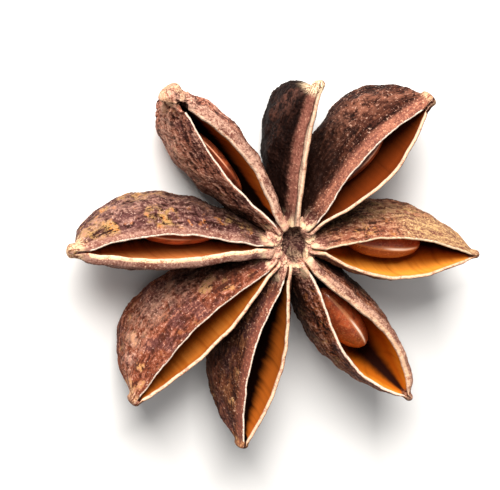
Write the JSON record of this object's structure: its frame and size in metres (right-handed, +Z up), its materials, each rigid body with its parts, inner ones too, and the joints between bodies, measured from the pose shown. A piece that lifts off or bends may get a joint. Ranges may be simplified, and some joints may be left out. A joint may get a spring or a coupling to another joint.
{
  "type": "star anise pod",
  "caption": "Dried, opened star anise fruit lying with its open side up: boat-shaped carpels stand round a short core, split along their top seams, with loose flat seeds inside.",
  "frame": {"origin": "centre of the bounding box, on the surface that the pod lies on", "axes": "+Z up, out of the open side; +X along the longest extent, towards the right-hand carpel; +Y towards the shut carpel"},
  "size_m": [0.0352, 0.0314, 0.0083],
  "materials": {
    "husk": "dry, wrinkled, matte",
    "seed": "hard, smooth, glossy"
  },
  "bodies": {
    "root": {"husk": "husk", "seed_e": "seed", "seed_ne": "seed", "seed_nw": "seed", "seed_w": "seed", "seed_se": "seed"}
  },
  "joints": []
}
